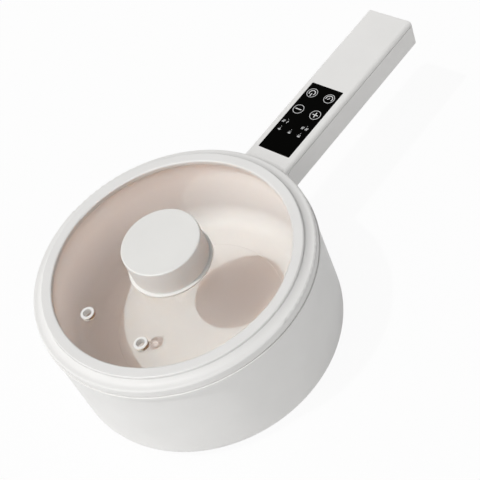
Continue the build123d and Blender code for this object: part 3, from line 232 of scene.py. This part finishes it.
def moulded(name, colour, roughness=0.38, mottle=0.03, grain=2600, depth=0.00004, **extra):
    """Moulded plastic, rubber or paint: faint mottling, a fine moulded grain and uneven gloss."""
    shader = Shader(name)
    cloud = shader.spread(shader.noise(CLOUD_SCALE, detail=4), 0, 1)
    mottled = shader.tones(cloud, shade(colour, 1 - mottle), shade(colour, 1 + mottle / 2))
    shader.link(mottled, shader.bsdf.inputs["Base Color"])
    shader.skin(roughness, grain, depth)
    shader.set(**extra)
    return shader.material


def brushed(name, colour, roughness=0.32, stretch=(1, 1, 24), **extra):
    """Metal with fine lines in one direction and small stains."""
    shader = Shader(name)
    lines = shader.noise(LINE_SCALE, detail=3, stretch=stretch)
    stain = shader.spread(shader.noise(STAIN_SCALE, detail=4), 0, 1)
    shader.link(shader.tones(stain, shade(colour, STAIN_TONE), colour), shader.bsdf.inputs["Base Color"])
    low, high = (roughness + change for change in LINE_GLOSS)
    shader.link(shader.spread(lines, low, high), shader.bsdf.inputs["Roughness"])
    shader.link(shader.bump(lines, LINE_DEPTH, strength=0.3), shader.bsdf.inputs["Normal"])
    shader.set(Metallic=1.0, **extra)
    return shader.material


def coated(name, floor_tone_painted_shade, wall_tone_painted_light, roughness=0.53, grain=1800, depth=0.00004):
    """Satin ceramic coating with painted light: its tone is painted darker on the floor and lighter up
    the wall.
    """
    shader = Shader(name)
    apart = shader.nodes.new("ShaderNodeSeparateXYZ")
    shader.link(shader.coords, apart.inputs[0])
    # painted shade and painted light: the tone goes from the darker floor tone to the lighter wall tone
    # with height
    painted_light_share = shader.spread(apart.outputs["Z"], 0, 1, PAINTED_LIGHT_LOW_Z, PAINTED_LIGHT_HIGH_Z)
    painted_light_tone = shader.tones(painted_light_share, floor_tone_painted_shade, wall_tone_painted_light)
    cloud = shader.nodes.new("ShaderNodeMix")
    cloud.data_type = "RGBA"
    cloud.blend_type = "MULTIPLY"
    cloud.inputs["Factor"].default_value = 1.0
    shader.link(painted_light_tone, cloud.inputs["A"])
    mottle = shader.spread(shader.noise(CLOUD_SCALE, detail=4), 0, 1)
    shader.link(shader.tones(mottle, COATING_MOTTLE, (1, 1, 1, 1)), cloud.inputs["B"])
    shader.link(cloud.outputs["Result"], shader.bsdf.inputs["Base Color"])
    shader.skin(roughness, grain, depth)
    shader.set(Specular_IOR_Level=0.3)
    return shader.material


def clear_glass(name, tint):
    """Clear glass that lets direct light and part of the bounced light straight through."""
    shader = Shader(name)
    shader.set(Base_Color=tint, Transmission_Weight=1.0, IOR=GLASS_IOR)
    smear = shader.noise(SMEAR_SCALE, detail=4)
    shader.link(shader.spread(smear, 0.0, SMEAR_ROUGHNESS), shader.bsdf.inputs["Roughness"])
    open_way = shader.nodes.new("ShaderNodeBsdfTransparent")
    path = shader.nodes.new("ShaderNodeLightPath")
    veil = shader.tones(path.outputs["Is Diffuse Ray"], SUN_TINT, BOUNCE_TINT)
    shader.link(veil, open_way.inputs["Color"])
    passing = shader.nodes.new("ShaderNodeMath")
    passing.operation = "MULTIPLY_ADD"
    passing.inputs[1].default_value = OPEN_SHARE
    shader.link(path.outputs["Is Diffuse Ray"], passing.inputs[0])
    shader.link(path.outputs["Is Shadow Ray"], passing.inputs[2])
    mix = shader.nodes.new("ShaderNodeMixShader")
    shader.link(passing.outputs[0], mix.inputs["Fac"])
    shader.link(shader.bsdf.outputs[0], mix.inputs[1])
    shader.link(open_way.outputs[0], mix.inputs[2])
    shader.link(mix.outputs[0], shader.output.inputs["Surface"])
    return shader.material


WHITE = rgb(234, 233, 231)
finishes = {
    "body_plastic": moulded("body_plastic", WHITE, 0.46, Specular_IOR_Level=0.4),
    "handle_plastic": moulded("handle_plastic", WHITE, 0.46, Specular_IOR_Level=0.4),
    "lid_rim_plastic": moulded("lid_rim_plastic", WHITE, 0.34),
    "knob_plastic": moulded("knob_plastic", rgb(235, 234, 231), 0.42),
    "base_plastic": moulded("base_plastic", rgb(214, 212, 209), 0.55),
    "foot_rubber": moulded("foot_rubber", rgb(150, 149, 147), 0.75, mottle=0.06),
    # the pot coating's two tones are painted shade on the floor and painted light up the wall
    "pot_coating": coated("pot_coating", rgb(211, 204, 201), rgb(255, 249, 247)),
    "lid_glass": clear_glass("lid_glass", (0.985, 0.99, 0.988, 1.0)),
    "lid_seal_rubber": moulded("lid_seal_rubber", rgb(228, 226, 222), 0.6),
    "knob_pad_rubber": moulded("knob_pad_rubber", rgb(222, 220, 216), 0.6),
    "eyelet_plastic": moulded("eyelet_plastic", rgb(240, 239, 237), 0.3),
    "panel_black": moulded(
        "panel_black", rgb(4, 4, 3), 0.12, mottle=0.1, depth=0.00001, Specular_IOR_Level=0.01),
    "diffuser_plastic": moulded("diffuser_plastic", rgb(230, 230, 228), 0.5),
    "led_epoxy": moulded("led_epoxy", rgb(236, 236, 220), 0.2),
    "circuit_board": moulded("circuit_board", rgb(34, 96, 52), 0.35, mottle=0.2),
    "chip_black": moulded("chip_black", rgb(28, 28, 29), 0.55, mottle=0.15),
    "relay_case": moulded("relay_case", rgb(40, 88, 150), 0.4),
    "capacitor_case": moulded("capacitor_case", rgb(190, 132, 50), 0.35),
    "fuse_ceramic": moulded("fuse_ceramic", rgb(226, 220, 206), 0.45),
    "terminal_green": moulded("terminal_green", rgb(66, 150, 96), 0.45),
    "terminal_ceramic": moulded("terminal_ceramic", rgb(232, 228, 216), 0.5),
    "gland_rubber": moulded("gland_rubber", rgb(196, 194, 190), 0.7),
    "lead_white": moulded("lead_white", rgb(226, 223, 216), 0.7, mottle=0.1),
    "lead_brown": moulded("lead_brown", rgb(122, 76, 42), 0.45),
    "lead_blue": moulded("lead_blue", rgb(52, 106, 176), 0.45),
    "lead_grey": moulded("lead_grey", rgb(140, 140, 138), 0.5),
    "ribbon_grey": moulded("ribbon_grey", rgb(176, 176, 174), 0.5),
    "brass_insert": brushed("brass_insert", rgb(208, 176, 110), 0.3),
    "screw_steel": brushed("screw_steel", rgb(190, 190, 188), 0.3),
    "stud_steel": brushed("stud_steel", rgb(186, 186, 184), 0.34),
    "spring_steel": brushed("spring_steel", rgb(180, 180, 178), 0.28),
    "bracket_steel": brushed("bracket_steel", rgb(178, 179, 180), 0.4, stretch=(24, 1, 1)),
    "shield_steel": brushed("shield_steel", rgb(190, 190, 188), 0.36, stretch=(24, 1, 1)),
    "cast_aluminium": brushed("cast_aluminium", rgb(182, 182, 182), 0.5, stretch=(1, 1, 1)),
    "element_sheath": brushed("element_sheath", rgb(150, 147, 142), 0.5, stretch=(1, 1, 1)),
    "sensor_cap": brushed("sensor_cap", rgb(196, 196, 196), 0.3),
    "cutout_case": brushed("cutout_case", rgb(184, 184, 184), 0.35),
}

slot_of = {part["node"]: part["material_slot"] for part in frame["record"]["subparts"]}
for node, obj in frame["nodes"].items():
    obj.data.materials.clear()
    obj.data.materials.append(finishes[slot_of[node]])


# ---------------------------------------------------------------- print on the touch panel
def arc(centre, radius, start, end, steps=40):
    """Points on an arc; angles in degrees from the handle's direction."""
    angles = [radians(start + (end - start) * i / steps) for i in range(steps + 1)]
    return [(centre[0] + radius * cos(angle), centre[1] + radius * sin(angle)) for angle in angles]


def dot(x, y):
    """The outline of one of the lamps beside the marks."""
    return arc((x, y), DOT_R, 0, 360 - 360 / DOT_CORNERS, DOT_CORNERS - 1)


def printed(name, strokes, blobs, material):
    """Flat ink just above the panel: strokes are (points, width), blobs are filled outlines."""
    shape = bmesh.new()
    outlines = list(blobs)
    for points, width in strokes:
        left, right = [], []
        for i, point in enumerate(points):
            before, after = Vector(points[max(i - 1, 0)]), Vector(points[min(i + 1, len(points) - 1)])
            ahead = (after - before).normalized()
            side = Vector((-ahead.y, ahead.x)) * width / 2
            left.append(Vector(point) + side)
            right.append(Vector(point) - side)
        for i in range(len(points) - 1):
            outlines.append([left[i], right[i], right[i + 1], left[i + 1]])
    for outline in outlines:
        shape.faces.new([shape.verts.new((x, y, HANDLE_TOP + PRINT_LIFT)) for x, y in outline])
    bmesh.ops.remove_doubles(shape, verts=shape.verts, dist=PRINT_WELD)
    bmesh.ops.recalc_face_normals(shape, faces=shape.faces)
    mesh = bpy.data.meshes.new(name)
    shape.to_mesh(mesh)
    shape.free()
    obj = bpy.data.objects.new(name, mesh)
    bpy.context.collection.objects.link(obj)
    mesh.materials.append(material)
    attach(obj, "cooker")


def key_rings():
    """A ring around each key."""
    return [(arc(spot, KEY_R - KEY_LINE / 2, 0, 360, RING_STEPS), KEY_LINE) for spot in KEYS.values()]


def key_signs():
    """The strokes of the on, timer, less and more signs."""
    signs = []
    x, y = KEYS["power"]
    signs.append((arc((x, y), KEY_R * POWER_ARC, *POWER_SWEEP), POWER_LINE))
    signs.append(([(x - KEY_R * share, y) for share in POWER_STEM], MARK_LINE))
    x, y = KEYS["timer"]
    hand = KEY_R * TIMER_HAND
    signs.append((arc((x, y), KEY_R * TIMER_ARC, *TIMER_SWEEP), TIMER_LINE))
    signs.append(([(x + hand, y), (x, y), (x - hand, y + hand)], TIMER_LINE))
    x, y = KEYS["minus"]
    arm = KEY_R * MINUS_ARM
    signs.append(([(x, y - arm), (x, y + arm)], MARK_LINE))
    x, y = KEYS["plus"]
    arm = KEY_R * PLUS_ARM
    signs.append(([(x, y - arm), (x, y + arm)], MARK_LINE))
    signs.append(([(x - arm, y), (x + arm, y)], MARK_LINE))
    return signs


def wave(x, y):
    """One small upright wave, the common sign for heat."""
    shares = [i / WAVE_STEPS for i in range(WAVE_STEPS + 1)]
    return [(x + WAVE_LENGTH * (share - 0.5), y + WAVE_SWING * sin(2 * pi * share)) for share in shares]


def small_marks():
    """Waves for the two heat levels, and small pots with one, two and three bars for the states."""
    strokes, blobs = [], []
    for (x, y), waves in zip(LEVEL_MARKS, LEVEL_WAVES):
        for offset in waves:
            strokes.append((wave(x, y + offset), WAVE_LINE))
        blobs.append(dot(x + LEVEL_DOT[0], y + LEVEL_DOT[1]))
    for number, (x, y) in enumerate(STATE_MARKS):
        blobs.append([(x + dx, y + dy) for dx, dy in POT_SIGN])
        for i in range(number + 1):
            bar_y = y + (i - number / 2) * BAR_GAP
            strokes.append(([(x + dx, bar_y) for dx in BAR_SPAN], BAR_LINE))
        blobs.append(dot(x + STATE_DOT[0], y + STATE_DOT[1]))
    return strokes, blobs


ring_ink = moulded("ink_grey", rgb(208, 208, 208), 0.5, mottle=0.06)
printed("panel_key_rings", key_rings(), [], ring_ink)
sign_ink = moulded("ink_white", rgb(238, 238, 238), 0.5)
printed("panel_key_signs", key_signs(), [], sign_ink)
mark_ink = moulded("ink_soft", rgb(190, 190, 190), 0.5, mottle=0.06)
printed("panel_small_marks", *small_marks(), mark_ink)


# ---------------------------------------------------------------- floor, light and camera
def add_floor():
    """The pale floor, which keeps a little of the object's shadow."""
    mesh = bpy.data.meshes.new("floor")
    corners = [(x * FLOOR_REACH, y * FLOOR_REACH, 0) for x, y in ((-1, -1), (1, -1), (1, 1), (-1, 1))]
    mesh.from_pydata(corners, [], [(0, 1, 2, 3)])
    floor = bpy.data.objects.new("floor", mesh)
    bpy.context.collection.objects.link(floor)
    shader = Shader("floor_white")
    shader.set(Base_Color=rgb(228, 228, 228), Roughness=0.9)
    glow = shader.nodes.new("ShaderNodeEmission")
    glow.inputs["Color"].default_value = (1, 1, 1, 1)
    glow.inputs["Strength"].default_value = 1.0
    share = shader.nodes.new("ShaderNodeMath")
    share.operation = "MULTIPLY"
    share.inputs[1].default_value = WHITE_SHARE
    shader.link(white_rays(shader.nodes, shader.links), share.inputs[0])
    mix = shader.nodes.new("ShaderNodeMixShader")
    shader.link(share.outputs[0], mix.inputs["Fac"])
    shader.link(shader.bsdf.outputs[0], mix.inputs[1])
    shader.link(glow.outputs[0], mix.inputs[2])
    shader.link(mix.outputs[0], shader.output.inputs["Surface"])
    mesh.materials.append(shader.material)


def add_sky():
    """A soft sky, brighter on one side and towards the horizon, that white_rays see as plain white."""
    world = bpy.data.worlds.new("sky")
    bpy.context.scene.world = world
    world.use_nodes = True
    nodes, links = world.node_tree.nodes, world.node_tree.links
    nodes.clear()
    output = nodes.new("ShaderNodeOutputWorld")
    mix = nodes.new("ShaderNodeMixShader")
    soft = nodes.new("ShaderNodeBackground")
    soft.inputs["Color"].default_value = (1.0, 1.0, 1.0, 1)
    direction = nodes.new("ShaderNodeTexCoord").outputs["Generated"]
    lean = nodes.new("ShaderNodeVectorMath")
    lean.operation = "DOT_PRODUCT"
    links.new(direction, lean.inputs[0])
    bright_x, bright_y = cos(SKY_BRIGHT_SIDE) * SKY_SLOPE, sin(SKY_BRIGHT_SIDE) * SKY_SLOPE
    lean.inputs[1].default_value = (bright_x, bright_y, -SKY_DROP)
    level = nodes.new("ShaderNodeMath")
    level.operation = "MULTIPLY_ADD"
    level.inputs[1].default_value = SKY_STRENGTH
    level.inputs[2].default_value = SKY_STRENGTH * SKY_HORIZON
    level.use_clamp = True
    links.new(lean.outputs["Value"], level.inputs[0])
    links.new(level.outputs[0], soft.inputs["Strength"])
    plain = nodes.new("ShaderNodeBackground")
    plain.inputs["Color"].default_value = (1, 1, 1, 1)
    plain.inputs["Strength"].default_value = 1.0
    links.new(white_rays(nodes, links), mix.inputs["Fac"])
    links.new(soft.outputs[0], mix.inputs[1])
    links.new(plain.outputs[0], mix.inputs[2])
    links.new(mix.outputs[0], output.inputs["Surface"])


def add_sun():
    """The one lamp, which gives the sharp shadows."""
    lamp = bpy.data.lights.new("sun", "SUN")
    lamp.energy = SUN_STRENGTH
    lamp.angle = SUN_ANGLE
    sun = bpy.data.objects.new("sun", lamp)
    bpy.context.collection.objects.link(sun)
    sun.rotation_euler = SUN_TRAVEL.to_track_quat("-Z", "Y").to_euler()


def add_camera():
    """The camera looks at VIEW_TARGET from the fitted direction, turned about its own axis."""
    back = Vector((
        sin(VIEW_AZIMUTH) * cos(VIEW_ELEVATION),
        -cos(VIEW_AZIMUTH) * cos(VIEW_ELEVATION),
        sin(VIEW_ELEVATION),
    ))
    level = Vector((cos(VIEW_AZIMUTH), sin(VIEW_AZIMUTH), 0))
    upright = back.cross(level)
    right = cos(VIEW_ROLL) * level + sin(VIEW_ROLL) * upright
    up = cos(VIEW_ROLL) * upright - sin(VIEW_ROLL) * level
    lens = bpy.data.cameras.new("camera")
    lens.sensor_width = SENSOR_MM
    lens.lens = FOCAL_PIXELS / IMAGE_PIXELS * SENSOR_MM
    camera = bpy.data.objects.new("camera", lens)
    bpy.context.collection.objects.link(camera)
    turn = Matrix((right, up, back)).transposed().to_4x4()
    camera.matrix_world = Matrix.Translation(VIEW_TARGET + back * VIEW_DISTANCE) @ turn
    bpy.context.scene.camera = camera


add_floor()
add_sky()
add_sun()
add_camera()
bpy.context.scene.view_settings.view_transform = "Standard"
